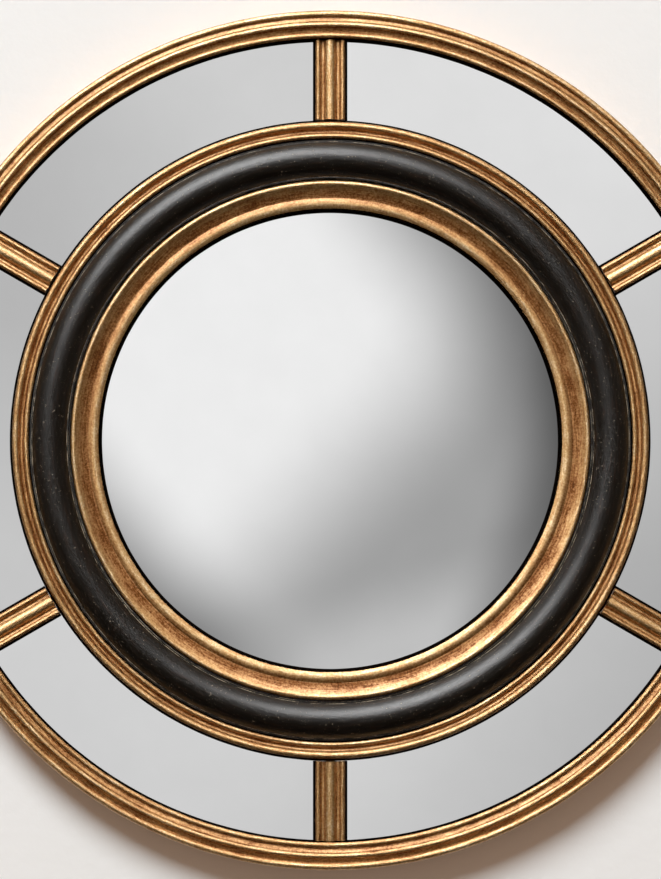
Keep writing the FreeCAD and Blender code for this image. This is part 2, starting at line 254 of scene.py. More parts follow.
turned_ring(
    "moulded_band", "inner_gilt_band", (BAND_OUTER, SPRING),
    members=[(5.2, 1.8, 0), (3.1, -1.1, 0), (4.0, 1.9, 0)],
    corners=[(BAND_INNER, BOARD_FRONT), (BAND_BODY, BOARD_FRONT), (BAND_BODY, PANE_FRONT),
             (BAND_FOOT, PANE_FRONT), (BAND_FOOT, FOOT_TOP),
             (BAND_OUTER, FOOT_TOP + BAND_FOOT - BAND_OUTER)],
    steps=RING_STEPS, swell=0.2)

# %% [markdown]
# ## The black cushion
#
# The cushion is a broad crown between two small steps. Each step is a quirk, the narrow groove at the
# foot, and an arris, the narrow ledge above it, whose edges rub pale first. They could be left to the
# finish, but a real step catches light and drops a shadow from every side.

# %% The black cushion
QUIRK = 1.0
QUIRK_DEPTH = 24.0
ARRIS = 1.0
ARRIS_RISE = 2.5
CROWN_WIDTH = 25.2
CROWN_RISE = 7.5

turned_ring(
    "black_cushion", "ebonised_ring", (CUSHION_OUTER, QUIRK_DEPTH),
    members=[(QUIRK, 0, 0), (0, 0, ARRIS_RISE), (ARRIS, 0, 0), (CROWN_WIDTH, CROWN_RISE, 0),
             (ARRIS, 0, 0), (0, 0, -ARRIS_RISE), (QUIRK, 0, 0)],
    corners=[(CUSHION_INNER, BOARD_FRONT), (CUSHION_OUTER, BOARD_FRONT)],
    steps=RING_STEPS, swell=0.25)

# %% [markdown]
# ## The gilt slip
#
# The slip holds the domed glass. From its outer edge inwards it has a narrow nose, a slightly hollow
# slope that falls towards the glass, and a broad low nose. It is bored wider behind, for the glass's
# edge.

# %% The gilt slip
GLASS_BORE = 176.0

turned_ring(
    "moulded_slip", "sight_slip", (SLIP_OUTER, SPRING),
    members=[(4.0, 1.3, 1.6), (8.6, -0.5, -2.8), (8.0, 1.1, -0.5)],
    corners=[(SIGHT_RADIUS, PANE_FRONT), (GLASS_BORE, PANE_FRONT), (GLASS_BORE, BOARD_FRONT),
             (SLIP_OUTER, BOARD_FRONT)],
    steps=RING_STEPS, swell=0.18)

# %% [markdown]
# ## The dome
#
# The middle glass is a slice of a sphere, 350 mm across with a radius of 600 mm. Its reflection
# shows every flaw of its surface, so it is drawn the same way and turned finely: a front arc, the
# glass's ground edge, and a back arc 3 mm behind the front one. A UV sphere cut down to its cap would
# do as well, but most of its faces would be cut away again.

# %% The domed glass
GLASS_RADIUS = 175.0
GLASS_CURVE = 600.0
GLASS_THICKNESS = 3.0
SIGHT_CLEARANCE = 0.3
DOME_STEP = 2.5


def sagitta(curve_radius, radius):
    """How far a sphere falls back from its apex at this distance from its axis."""
    return curve_radius - math.sqrt(curve_radius ** 2 - radius ** 2)


apex = PANE_FRONT - SIGHT_CLEARANCE + sagitta(GLASS_CURVE, SIGHT_RADIUS)
back_curve = GLASS_CURVE - GLASS_THICKNESS
front_edge = (GLASS_RADIUS, apex - sagitta(GLASS_CURVE, GLASS_RADIUS))
back_edge = (GLASS_RADIUS, apex - GLASS_THICKNESS - sagitta(back_curve, GLASS_RADIUS))
front_turn = math.asin(GLASS_RADIUS / GLASS_CURVE)
back_turn = math.asin(GLASS_RADIUS / back_curve)

dome = start_section("domed_mirror", (0, apex))
arc_about((0, apex - GLASS_CURVE), -front_turn, GLASS_CURVE, DOME_STEP)
line_to(front_edge, back_edge)
arc_about((0, apex - GLASS_CURVE), back_turn, back_curve, DOME_STEP)
turn_section(RING_STEPS)
stand_for(dome, "convex_glass")
print("the dome stands out to mm:", round(apex, 2))

# %% [markdown]
# ## Nodes and colours
#
# A finish in Blender is a tree of nodes. Wiring one by hand takes a click for each node, each setting
# and each link, so one helper does all three: it adds a node, sets what it is told and links what it
# is given. Colours are given as hex values, as a screen shows them, and the renderer wants linear
# light, so a second helper turns the one into the other.

# %% Helpers for finishes
def add(tree, kind, inputs=None, **settings):
    """Adds a node, sets its settings, and links or sets its inputs."""
    made = tree.nodes.new(kind)
    for name, value in settings.items():
        setattr(made, name, value)
    for socket, value in (inputs or {}).items():
        if isinstance(value, bpy.types.NodeSocket):
            tree.links.new(value, made.inputs[socket])
        else:
            made.inputs[socket].default_value = value
    return made


def linear(hex_colour):
    """An sRGB hex colour as the renderer's linear one."""
    shares = [int(hex_colour[i:i + 2], 16) / 255 for i in (1, 3, 5)]
    return [c / 12.92 if c <= 0.04045 else ((c + 0.055) / 1.055) ** 2.4 for c in shares] + [1.0]


def new_finish(name):
    """An empty material, with its tree and its output node."""
    finish = bpy.data.materials.new(name)
    finish.use_nodes = True
    finish.node_tree.nodes.clear()
    output = add(finish.node_tree, "ShaderNodeOutputMaterial")
    return finish, finish.node_tree, output


def give(finish, *names):
    """Puts a finish on the pieces that show, each under its name in the frame."""
    for name in names:
        piece = shown[name]
        if not piece.material_slots:
            piece.data.materials.append(finish)
        for place in piece.material_slots:
            place.material = finish


print("mid gold in linear light:", [round(c, 3) for c in linear("#cda064")])

# %% [markdown]
# ## Where a point lies on a moulding
#
# Rubbed gilding follows the moulding: dark in the hollows, where the wash lies and painted shade is
# added, bright on the rubbed crests, with streaks that run along it as the brush did. On a ring, a
# point's radius says which member it is on, and on a bar its distance from the bar's middle line does.
# This could be done with a UV map for each piece, but these distances come straight from the piece's
# place, so one rule serves them all.

# %% Places on a ring and on a bar
def millimetres(tree):
    """A point's place on the object, in millimetres."""
    place = add(tree, "ShaderNodeTexCoord").outputs["Object"]
    return add(tree, "ShaderNodeVectorMath", {0: place, "Scale": 1 / MM}, operation="SCALE").outputs[0]


def on_ring(tree):
    """A point's place, its radius, and its three coordinates."""
    place = millimetres(tree)
    axes = add(tree, "ShaderNodeSeparateXYZ", {0: place})
    flat = add(tree, "ShaderNodeCombineXYZ", {"X": axes.outputs["X"], "Z": axes.outputs["Z"]})
    radius = add(tree, "ShaderNodeVectorMath", {0: flat.outputs[0]}, operation="LENGTH")
    return place, radius.outputs["Value"], axes


def on_bar(turn):
    """The same for a bar at a turn clockwise from 12 o'clock, with its distance from the middle line."""
    def place_on_bar(tree):
        turned = add(tree, "ShaderNodeMapping", {
            "Vector": millimetres(tree), "Rotation": (0.0, -turn, 0.0)})
        axes = add(tree, "ShaderNodeSeparateXYZ", {0: turned.outputs[0]})
        across = add(tree, "ShaderNodeMath", {0: axes.outputs["X"]}, operation="ABSOLUTE")
        return turned.outputs[0], across.outputs[0], axes
    return place_on_bar


# %% [markdown]
# ## Gilding
#
# The gold is bronze-coloured metal leaf on gesso over red clay, rubbed back and then toned with a
# brown wash. The wash stays in the hollows, the crests are polished bright, and where the leaf wears
# through the clay shows red. The hollows and creases are also painted darker, as painted shade. Leaf
# is metal, so it reflects in its own colour, and the wash and the painted shade darken it and leave
# it rougher.
# One function makes the finish for each moulding. It is given the moulding's members, as a list of
# places across it with how much clean gold shows there, as a gilder tones by hand, member by member:
# less where the wash and the painted shade lie, more on the rubbed crests. Last comes a lacquer,
# which is thin in the hollows where the cloth took it off.
# The side walls get black paint, with the slightly unsteady edge of a brush.

# %% Gilding
# The darkest colour stands for the brown wash and for painted shade in the hollows and creases
WASH_AND_SHADE_DARK = linear("#3c1e0c")
GOLD_SHADES = (
    (0.2, "#7a4a24"),
    (0.4, "#b0804f"),
    (0.6, "#cfa56d"),
    (0.8, "#ead1a6"),
)
GOLD_BRIGHT = linear("#fbeccb")
CLAY_RED = linear("#96512a")
SIDE_BLACK = linear("#0b0705")

# Sizes of the patterns, in millimetres
STREAK_WIDTH = 1.0
STREAK_LENGTH = 12.0
LEAF_GRAIN = 1.6
WASH_BLOTCH = 26.0
WORN_PATCH = 3.4
WASH_WANDER = 0.35
PAINT_WANDER = 0.3
LEAF_RELIEF = 0.2


def fill_ramp(ramp, stops):
    """Sets a ramp's stops, each a place from 0 to 1 and a colour."""
    elements = ramp.color_ramp.elements
    while len(elements) > 1:
        elements.remove(elements[-1])
    elements[0].position, elements[0].color = stops[0]
    for where, colour in stops[1:]:
        elements.new(where).color = colour


def gilding(name, place_on, members, gold_range):
    """Rubbed gilding, with painted shade in its hollows. members are (place across, share of clean gold),
    and gold ends at the range's ends.
    """
    finish, tree, output = new_finish(name)
    place, across, axes = place_on(tree)
    first, last = members[0][0], members[-1][0]
    black_below, black_above = gold_range

    # Brush streaks, then grain, then blotches
    squeezed = add(tree, "ShaderNodeMath", {
        0: across, 1: STREAK_LENGTH / STREAK_WIDTH}, operation="MULTIPLY")
    drawn_out = add(tree, "ShaderNodeCombineXYZ", {
        "X": axes.outputs["X"], "Y": squeezed.outputs[0], "Z": axes.outputs["Z"]})
    streaks = add(tree, "ShaderNodeTexNoise", {
        "Vector": drawn_out.outputs[0], "Scale": 1 / STREAK_LENGTH, "Detail": 3.0, "Roughness": 0.6})
    grains = add(tree, "ShaderNodeTexNoise", {
        "Vector": place, "Scale": 1 / LEAF_GRAIN, "Detail": 3.0, "Roughness": 0.65})
    blotches = add(tree, "ShaderNodeTexNoise", {
        "Vector": place, "Scale": 1 / WASH_BLOTCH, "Detail": 4.0, "Roughness": 0.6})

    # The wash and the painted shade wander a little off each member, as a cloth leaves a wash
    wander = add(tree, "ShaderNodeMapRange", {
        "Value": streaks.outputs[0], "From Min": 0.3, "From Max": 0.7,
        "To Min": -WASH_WANDER, "To Max": WASH_WANDER})
    moved = add(tree, "ShaderNodeMath", {0: across, 1: wander.outputs[0]}, operation="ADD")
    share = add(tree, "ShaderNodeMapRange", {
        "Value": moved.outputs[0], "From Min": first, "From Max": last})
    # Each member's share is low in hollows and creases, for the wash and for painted shade
    gilt_share_with_shade = add(tree, "ShaderNodeValToRGB", {0: share.outputs[0]})
    fill_ramp(gilt_share_with_shade, [
        ((where - first) / (last - first), (gold, gold, gold, 1.0)) for where, gold in members])

    # Grain, blotches and streaks move that share up and down before it picks a colour
    level = gilt_share_with_shade
    for pattern, strength in ((grains, 0.75), (blotches, 0.4), (streaks, 0.6)):
        swing = add(tree, "ShaderNodeMath", {
            0: pattern.outputs[0], 1: strength, 2: -strength / 2}, operation="MULTIPLY_ADD")
        level = add(tree, "ShaderNodeMath", {0: level.outputs[0], 1: swing.outputs[0]}, operation="ADD")
    toned = add(tree, "ShaderNodeValToRGB", {0: level.outputs[0]})
    fill_ramp(toned, [(0.0, WASH_AND_SHADE_DARK)] + [(at, linear(shade)) for at, shade in GOLD_SHADES]
              + [(1.0, GOLD_BRIGHT)])

    # Red clay where the leaf is worn through
    worn = add(tree, "ShaderNodeTexNoise", {
        "Vector": place, "Scale": 1 / WORN_PATCH, "Detail": 4.0, "Roughness": 0.7})
    bare = add(tree, "ShaderNodeMapRange", {
        "Value": worn.outputs[0], "From Min": 0.58, "From Max": 0.72, "To Min": 0.0, "To Max": 0.25})
    leafed = add(tree, "ShaderNodeMix", {
        0: bare.outputs[0], 6: toned.outputs[0], 7: CLAY_RED}, data_type="RGBA")

    # Black paint on the side walls, past the ends of the gold's range
    edge = add(tree, "ShaderNodeMath", {
        0: grains.outputs[0], 1: PAINT_WANDER, 2: -PAINT_WANDER / 2}, operation="MULTIPLY_ADD")
    cut = add(tree, "ShaderNodeMath", {0: across, 1: edge.outputs[0]}, operation="ADD")
    under = add(tree, "ShaderNodeMath", {0: cut.outputs[0], 1: black_below}, operation="LESS_THAN")
    over = add(tree, "ShaderNodeMath", {0: cut.outputs[0], 1: black_above}, operation="GREATER_THAN")
    black = add(tree, "ShaderNodeMath", {0: under.outputs[0], 1: over.outputs[0]}, operation="MAXIMUM")
    colour = add(tree, "ShaderNodeMix", {
        0: black.outputs[0], 6: leafed.outputs[2], 7: SIDE_BLACK}, data_type="RGBA")

    # Leaf is metal and paint isn't. Heavy wash and painted shade hide a little of the metal and are rougher
    # than leaf
    leaf = add(tree, "ShaderNodeMapRange", {
        "Value": level.outputs[0], "From Min": 0.1, "From Max": 0.5, "To Min": 0.9, "To Max": 1.0})
    metal = add(tree, "ShaderNodeMix", {
        0: black.outputs[0], 2: leaf.outputs[0], 3: 0.0}, data_type="FLOAT")
    polish = add(tree, "ShaderNodeMapRange", {
        "Value": level.outputs[0], "From Min": 0.1, "From Max": 0.9, "To Min": 0.56, "To Max": 0.42})
    rough = add(tree, "ShaderNodeMath", {
        0: grains.outputs[0], 1: 0.12, 2: polish.outputs[0]}, operation="MULTIPLY_ADD")

    # The lacquer is thin where there is little clean gold, under wash and painted shade, and there is none
    # on the paint
    shine = add(tree, "ShaderNodeMapRange", {
        "Value": level.outputs[0], "From Min": 0.2, "From Max": 0.7, "To Min": 0.1, "To Max": 0.95})
    lacquer = add(tree, "ShaderNodeMix", {
        0: black.outputs[0], 2: shine.outputs[0], 3: 0.0}, data_type="FLOAT")
    relief = add(tree, "ShaderNodeMath", {0: grains.outputs[0], 1: streaks.outputs[0]}, operation="ADD")
    bump = add(tree, "ShaderNodeBump", {
        "Height": relief.outputs[0], "Strength": 0.65, "Distance": LEAF_RELIEF * MM})
    shader = add(tree, "ShaderNodeBsdfPrincipled", {
        "Base Color": colour.outputs[2], "Metallic": metal.outputs[0], "Roughness": rough.outputs[0],
        "Specular IOR Level": 0.0, "Coat Weight": lacquer.outputs[0], "Coat Roughness": 0.36,
        "Coat IOR": 1.6, "Normal": bump.outputs[0]})
    tree.links.new(shader.outputs[0], output.inputs["Surface"])
    return finish


# %% [markdown]
# ## The gilded mouldings
#
# From the middle outwards, the slip has a broad nose at the glass, a dark valley, a slope that climbs
# and lightens, and a narrow outer nose; the valley is dark with wash and painted shade. The band has a
# bead, a hollow and a nose. The rim has two noses, with a bead between them and a hollow each side of
# it. A bar has a middle bead, and a hollow and a nose each side. Each list walks across its moulding,
# in millimetres from the mirror's axis or from the bar's middle line: 1 is polished leaf and 0 is all
# wash and painted shade. The creases at the foot of a bead hold the darkest wash and the deepest
# painted shade. Black paint on a side wall meets the gold within a few tenths of a millimetre of the
# edge, so each moulding also has the range that stays gold. The rim's outside isn't painted.

# %% Gilding each moulding
NEVER_BELOW = -1.0
NEVER_ABOVE = 1000.0

SLIP_MEMBERS = (
    (167.0, 0.45), (168.4, 0.58), (170.6, 0.66), (172.6, 0.45), (174.4, 0.36), (175.2, 0.3),
    (176.5, 0.22), (179.5, 0.28), (181.2, 0.4), (183.0, 0.48), (184.2, 0.6), (185.8, 0.68),
    (187.6, 0.35),
)
BAND_MEMBERS = (
    (217.4, 0.4), (218.4, 0.55), (219.6, 0.6), (221.0, 0.45), (221.4, 0.25), (222.8, 0.4),
    (224.3, 0.4), (224.8, 0.48), (227.1, 0.6), (229.2, 0.5), (231.6, 0.3),
)
RIM_MEMBERS = (
    (289.5, 0.4), (290.4, 0.52), (291.8, 0.6), (293.6, 0.48), (294.1, 0.3), (295.6, 0.4),
    (297.1, 0.4), (297.4, 0.22), (297.9, 0.52), (299.5, 0.66), (301.2, 0.55), (301.7, 0.25),
    (302.2, 0.5), (303.4, 0.45), (304.6, 0.35), (305.2, 0.48), (307.4, 0.64), (309.2, 0.6),
    (310.0, 0.5),
)
BAR_MEMBERS = (
    (0.0, 0.62), (2.6, 0.6), (3.6, 0.52), (4.2, 0.34), (5.4, 0.5), (6.8, 0.46),
    (7.4, 0.48), (8.8, 0.6), (10.2, 0.45), (10.8, 0.3),
)

SLIP_GOLD = (SIGHT_RADIUS + 0.35, SLIP_OUTER - 0.3)
BAND_GOLD = (BAND_INNER + 0.2, BAND_OUTER - 0.15)
RIM_GOLD = (RIM_INNER + 0.35, NEVER_ABOVE)
BAR_GOLD = (NEVER_BELOW, BAR_HALF + 0.1)

give(gilding("rubbed_gilding_slip", on_ring, SLIP_MEMBERS, SLIP_GOLD), "sight_slip")
give(gilding("rubbed_gilding_band", on_ring, BAND_MEMBERS, BAND_GOLD), "inner_gilt_band")
give(gilding("rubbed_gilding_rim", on_ring, RIM_MEMBERS, RIM_GOLD), "outer_rim")
for number in range(1, BAR_COUNT + 1):
    turn = 2 * math.pi * (number - 1) / BAR_COUNT
    give(gilding(f"rubbed_gilding_bar_{number}", on_bar(turn), BAR_MEMBERS, BAR_GOLD),
         f"glazing_bar_{number}")
print("gilded: slip, band, rim and", BAR_COUNT, "bars")

# %% [markdown]
# ## Ebonising
#
# The cushion is wood stained and polished black. Black polish isn't flat black: it has a soft sheen,
# a faint brown where the wood shows, and a pale broken line along each edge of the arrises. Each line
# is partly polish rubbed through and partly a painted highlight, where the edge catches the light. The
# sheen is uneven, because the polish is thin over the grain. The lines are narrow ranges of radius,
# broken up by a noise.

# %% Ebonised wood
CUSHION_BLACK = linear("#080605")
CUSHION_BROWN = linear("#24140b")
# A pale colour for the specks, and for the edge lines of wear and painted highlight
PALE_WEAR_AND_GLINT = linear("#b9a890")

# Sizes of the patterns, in millimetres, and how many times longer than wide the grain is
WOOD_GRAIN_LENGTH = 14.0
WOOD_GRAIN_RATIO = 9.0
FINE_GRAIN = 1.5
EDGE_LINE_BREAK = 7.0
POLISH_RELIEF = 0.2

# Each arris has two edges, this far in from the ring's side, and the pale lines of wear and painted
# highlight follow them
ARRIS_FOOT = 0.9
ARRIS_TOP = 2.0
LINE_HALF_WIDTH = 0.16
LINE_PLACES = (CUSHION_INNER + ARRIS_FOOT, CUSHION_INNER + ARRIS_TOP,
               CUSHION_OUTER - ARRIS_TOP, CUSHION_OUTER - ARRIS_FOOT)


def ebonising(name):
    """Black polish on wood, with brown rubs, specks, and pale edges of wear and painted highlight."""
    finish, tree, output = new_finish(name)
    place, radius, axes = on_ring(tree)
    squeezed = add(tree, "ShaderNodeMath", {0: radius, 1: WOOD_GRAIN_RATIO}, operation="MULTIPLY")
    drawn_out = add(tree, "ShaderNodeCombineXYZ", {
        "X": axes.outputs["X"], "Y": squeezed.outputs[0], "Z": axes.outputs["Z"]})
    wood_grain = add(tree, "ShaderNodeTexNoise", {
        "Vector": drawn_out.outputs[0], "Scale": 1 / WOOD_GRAIN_LENGTH, "Detail": 5.0,
        "Roughness": 0.65})
    fine = add(tree, "ShaderNodeTexNoise", {
        "Vector": place, "Scale": 1 / FINE_GRAIN, "Detail": 3.0, "Roughness": 0.7})
    brown = add(tree, "ShaderNodeMapRange", {
        "Value": wood_grain.outputs[0], "From Min": 0.52, "From Max": 0.7, "To Max": 0.8})
    wood = add(tree, "ShaderNodeMix", {
        0: brown.outputs[0], 6: CUSHION_BLACK, 7: CUSHION_BROWN}, data_type="RGBA")

    # Pale specks, where dust or a knock has broken the polish
    speck = add(tree, "ShaderNodeMapRange", {
        "Value": fine.outputs[0], "From Min": 0.65, "From Max": 0.7, "To Max": 0.5})
    specked = add(tree, "ShaderNodeMix", {
        0: speck.outputs[0], 6: wood.outputs[2], 7: PALE_WEAR_AND_GLINT}, data_type="RGBA")

    # Pale lines along the edges: polish rubbed through, and a painted highlight where an edge catches the
    # light
    along = add(tree, "ShaderNodeTexNoise", {
        "Vector": place, "Scale": 1 / EDGE_LINE_BREAK, "Detail": 5.0, "Roughness": 0.75})
    broken = add(tree, "ShaderNodeMapRange", {
        "Value": along.outputs[0], "From Min": 0.44, "From Max": 0.58})
    wear_and_glint_lines = None
    for edge in LINE_PLACES:
        off = add(tree, "ShaderNodeMath", {
            0: radius, 1: edge, 2: LINE_HALF_WIDTH}, operation="COMPARE")
        wear_and_glint_lines = off if wear_and_glint_lines is None else add(tree, "ShaderNodeMath", {
            0: wear_and_glint_lines.outputs[0], 1: off.outputs[0]}, operation="MAXIMUM")
    # Worn here is the pale edge line: rubbed-through polish and painted highlight together
    worn = add(tree, "ShaderNodeMath", {0: wear_and_glint_lines.outputs[0], 1: broken.outputs[0]}, operation="MULTIPLY")
    colour = add(tree, "ShaderNodeMix", {
        0: worn.outputs[0], 6: specked.outputs[2], 7: PALE_WEAR_AND_GLINT}, data_type="RGBA")

    # The polish is duller where it is thin over the grain
    sheen = add(tree, "ShaderNodeMapRange", {
        "Value": fine.outputs[0], "From Min": 0.35, "From Max": 0.65, "To Min": 0.28, "To Max": 0.46})
    relief = add(tree, "ShaderNodeMath", {0: fine.outputs[0], 1: wood_grain.outputs[0]}, operation="ADD")
    bump = add(tree, "ShaderNodeBump", {
        "Height": relief.outputs[0], "Strength": 0.6, "Distance": POLISH_RELIEF * MM})
    shader = add(tree, "ShaderNodeBsdfPrincipled", {
        "Base Color": colour.outputs[2], "Roughness": sheen.outputs[0], "IOR": 1.5,
        "Specular IOR Level": 0.68, "Normal": bump.outputs[0]})
    tree.links.new(shader.outputs[0], output.inputs["Surface"])
    return finish


give(ebonising("ebonised_wood"), "ebonised_ring")
print("ebonised: the cushion ring")

# %% [markdown]
# ## Silvered glass
#
# A mirror is a sheet of glass with silver behind it. Light crosses the glass twice, but what the eye
# gets is one clear reflection a little darker and greener than the room. So a polished metal with a
# pale grey colour stands for it, which renders without noise. Old silvering hazes, and a faint cloud
# gives that. Each of the six panes also has a painted tone of its own that drifts from one end to the
# other: painted reflection, darker where the pane shows a darker part of the room. The dome has one
# even tone. All of them have a roughness of exactly 0, and the room below tells mirrors from satin
# surfaces by that.

# %% Silvered glass
HAZE_SIZE = 40.0
DOME_TONE = "#f2f2f2"


def silvering(name, first, second, start, end):
    """A mirror whose tone goes from one colour at start to another at end, both in millimetres."""
    finish, tree, output = new_finish(name)
    place = millimetres(tree)
    way = [b - a for a, b in zip(start, end)]
    span = math.dist(start, end)
    offset = add(tree, "ShaderNodeVectorMath", {0: place, 1: start}, operation="SUBTRACT")
    along = add(tree, "ShaderNodeVectorMath", {0: offset.outputs[0], 1: way}, operation="DOT_PRODUCT")
    share = add(tree, "ShaderNodeMapRange", {
        "Value": along.outputs["Value"], "From Max": span * span}, interpolation_type="SMOOTHSTEP")
    tone = add(tree, "ShaderNodeMix", {
        0: share.outputs[0], 6: linear(first), 7: linear(second)}, data_type="RGBA")
    haze = add(tree, "ShaderNodeTexNoise", {
        "Vector": place, "Scale": 1 / HAZE_SIZE, "Detail": 3.0, "Roughness": 0.5})
    cloud = add(tree, "ShaderNodeMapRange", {
        "Value": haze.outputs[0], "From Min": 0.3, "From Max": 0.7, "To Min": 0.97, "To Max": 1.0})
    hazed = add(tree, "ShaderNodeVectorMath", {
        0: tone.outputs[2], "Scale": cloud.outputs[0]}, operation="SCALE")
    shader = add(tree, "ShaderNodeBsdfPrincipled", {
        "Base Color": hazed.outputs[0], "Metallic": 1.0, "Roughness": 0.0})
    tree.links.new(shader.outputs[0], output.inputs["Surface"])
    return finish


# Each pane's first and last tone of painted reflection, and the two places that they belong to
PANE_PAINTED_REFLECTION = {
    1: ("#e6e6e6", "#f4f4f4", (30, 0, 250), (240, 0, 150)),
    2: ("#e8e8e8", "#dcdcdc", (260, 0, 110), (260, 0, -110)),
    3: ("#efefef", "#fcfcfc", (240, 0, -150), (30, 0, -250)),
    4: ("#f4f4f4", "#dedede", (-30, 0, -250), (-240, 0, -150)),
    5: ("#d0d0d0", "#bababa", (-260, 0, -110), (-260, 0, 110)),
    6: ("#bbbbbb", "#d4d4d4", (-240, 0, 150), (-30, 0, 250)),
}
for number, (first, second, start, end) in PANE_PAINTED_REFLECTION.items():
    give(silvering(f"silvered_pane_{number}", first, second, start, end), f"flat_pane_{number}")
give(silvering("silvered_dome", DOME_TONE, DOME_TONE, (-170, 0, 0), (170, 0, 0)), "convex_glass")
print("silvered:", len(PANE_PAINTED_REFLECTION), "panes and the dome")

# %% [markdown]
# ## What the back shows
#
# The back of such a mirror is never finished like its front. A fibreboard disc closes it, with a
# smaller cover over the dome, felt packs the glass, and zinc-plated screws and strap hangers hold it
# all. Fibreboard is pressed from fibres, so its brown is speckled and matt. Zinc plating is a metal
# with a faint yellow cast and a crystalline mottle.

# %% Board, felt and zinc
FIBRE = 1.6
FIBRE_CLOUD = 60.0
SPANGLE = 1.8
ZINC_SMEAR = 5.0
ZINC_DARK = linear("#8d877a")
ZINC_PALE = linear("#cfcab9")


def pressed_fibre(name, pale, dark):
    """Fibreboard or felt: matt, speckled, slightly fuzzy."""
    finish, tree, output = new_finish(name)
    place = millimetres(tree)
    fibres = add(tree, "ShaderNodeTexNoise", {
        "Vector": place, "Scale": 1 / FIBRE, "Detail": 5.0, "Roughness": 0.8})
    clouds = add(tree, "ShaderNodeTexNoise", {
        "Vector": place, "Scale": 1 / FIBRE_CLOUD, "Detail": 3.0})
    both = add(tree, "ShaderNodeMath", {
        0: fibres.outputs[0], 1: 0.75, 2: -0.12}, operation="MULTIPLY_ADD")
    both = add(tree, "ShaderNodeMath", {
        0: clouds.outputs[0], 1: 0.5, 2: both.outputs[0]}, operation="MULTIPLY_ADD")
    colour = add(tree, "ShaderNodeMix", {
        0: both.outputs[0], 6: linear(dark), 7: linear(pale)}, data_type="RGBA")
    bump = add(tree, "ShaderNodeBump", {
        "Height": fibres.outputs[0], "Strength": 0.4, "Distance": 0.2 * MM})
    shader = add(tree, "ShaderNodeBsdfPrincipled", {
        "Base Color": colour.outputs[2], "Roughness": 0.85, "Normal": bump.outputs[0]})
    tree.links.new(shader.outputs[0], output.inputs["Surface"])
    return finish


def zinc_plate(name):
    """Zinc-plated steel: bright, slightly yellow, mottled."""
    finish, tree, output = new_finish(name)
    place = millimetres(tree)
    spangle = add(tree, "ShaderNodeTexVoronoi", {"Vector": place, "Scale": 1 / SPANGLE})
    smear = add(tree, "ShaderNodeTexNoise", {
        "Vector": place, "Scale": 1 / ZINC_SMEAR, "Detail": 4.0, "Roughness": 0.6})
    tone = add(tree, "ShaderNodeMath", {
        0: spangle.outputs["Distance"], 1: 0.4, 2: 0.1}, operation="MULTIPLY_ADD")
    tone = add(tree, "ShaderNodeMath", {
        0: smear.outputs[0], 1: 0.8, 2: tone.outputs[0]}, operation="MULTIPLY_ADD")
    colour = add(tree, "ShaderNodeMix", {
        0: tone.outputs[0], 6: ZINC_DARK, 7: ZINC_PALE}, data_type="RGBA")
    rough = add(tree, "ShaderNodeMapRange", {
        "Value": smear.outputs[0], "From Min": 0.3, "From Max": 0.7, "To Min": 0.28, "To Max": 0.45})
    bump = add(tree, "ShaderNodeBump", {
        "Height": smear.outputs[0], "Strength": 0.15, "Distance": 0.1 * MM})
    shader = add(tree, "ShaderNodeBsdfPrincipled", {
        "Base Color": colour.outputs[2], "Metallic": 1.0, "Roughness": rough.outputs[0],
        "Normal": bump.outputs[0]})
    tree.links.new(shader.outputs[0], output.inputs["Surface"])
    return finish


STEEL_PIECES = [name for name in nodes if "screws" in name or "hanger" in name]
give(pressed_fibre("fibreboard", pale="#b9936a", dark="#7c5936"), "back_board", "back_cover")
give(pressed_fibre("packing_felt", pale="#6a6964", dark="#3d3c39"), "glass_packing")
give(zinc_plate("zinc_plated_steel"), *STEEL_PIECES)
print("plated pieces:", len(STEEL_PIECES))

# %% [markdown]
# ## The wall
#
# The mirror hangs on a pale plastered wall, painted with a roller, which leaves a soft stipple about
# 9 mm from bump to bump. A flat sheet with a bump in its finish is enough, because the wall is only
# the stage. It has a round opening that the mirror hides, so that light reaches the mirror's back when
# the back is looked at, and for the same reason its rear face is clear.

# %% The wall
WALL_GAP = 0.0006
WALL_RADIUS = 2.2
OPENING_RADIUS = 0.3
OPENING_STEPS = 128
STIPPLE = 9.0
STIPPLE_HEIGHT = 1.2
TINT_SIZE = 140.0

bpy.ops.object.select_all(action="DESELECT")
bpy.ops.mesh.primitive_circle_add(
    vertices=OPENING_STEPS, radius=OPENING_RADIUS, location=(0, WALL_GAP, 0),
    rotation=(math.pi / 2, 0, 0))
wall = bpy.context.object
wall.name = "plastered_wall"
bpy.ops.object.transform_apply(location=True, rotation=True, scale=True)

# The opening's edge is drawn outwards. The faces that this makes look towards the room already
bpy.ops.object.mode_set(mode="EDIT")
bpy.ops.mesh.select_all(action="SELECT")
bpy.ops.mesh.extrude_region_move()
bpy.ops.transform.resize(value=[WALL_RADIUS / OPENING_RADIUS] * 3)
bpy.ops.object.mode_set(mode="OBJECT")

paint, tree, output = new_finish("roller_painted_plaster")
place = millimetres(tree)
bumps = add(tree, "ShaderNodeTexNoise", {
    "Vector": place, "Scale": 1 / STIPPLE, "Detail": 3.0, "Roughness": 0.55})
tint = add(tree, "ShaderNodeTexNoise", {"Vector": place, "Scale": 1 / TINT_SIZE, "Detail": 2.0})
colour = add(tree, "ShaderNodeMix", {
    0: tint.outputs[0], 6: linear("#f3eeea"), 7: linear("#f8f3f0")}, data_type="RGBA")
bump = add(tree, "ShaderNodeBump", {
    "Height": bumps.outputs[0], "Strength": 0.25, "Distance": STIPPLE_HEIGHT * MM})
matt = add(tree, "ShaderNodeBsdfPrincipled", {
    "Base Color": colour.outputs[2], "Roughness": 0.9, "Specular IOR Level": 0.2,
    "Normal": bump.outputs[0]})
clear = add(tree, "ShaderNodeBsdfTransparent")
behind = add(tree, "ShaderNodeNewGeometry").outputs["Backfacing"]
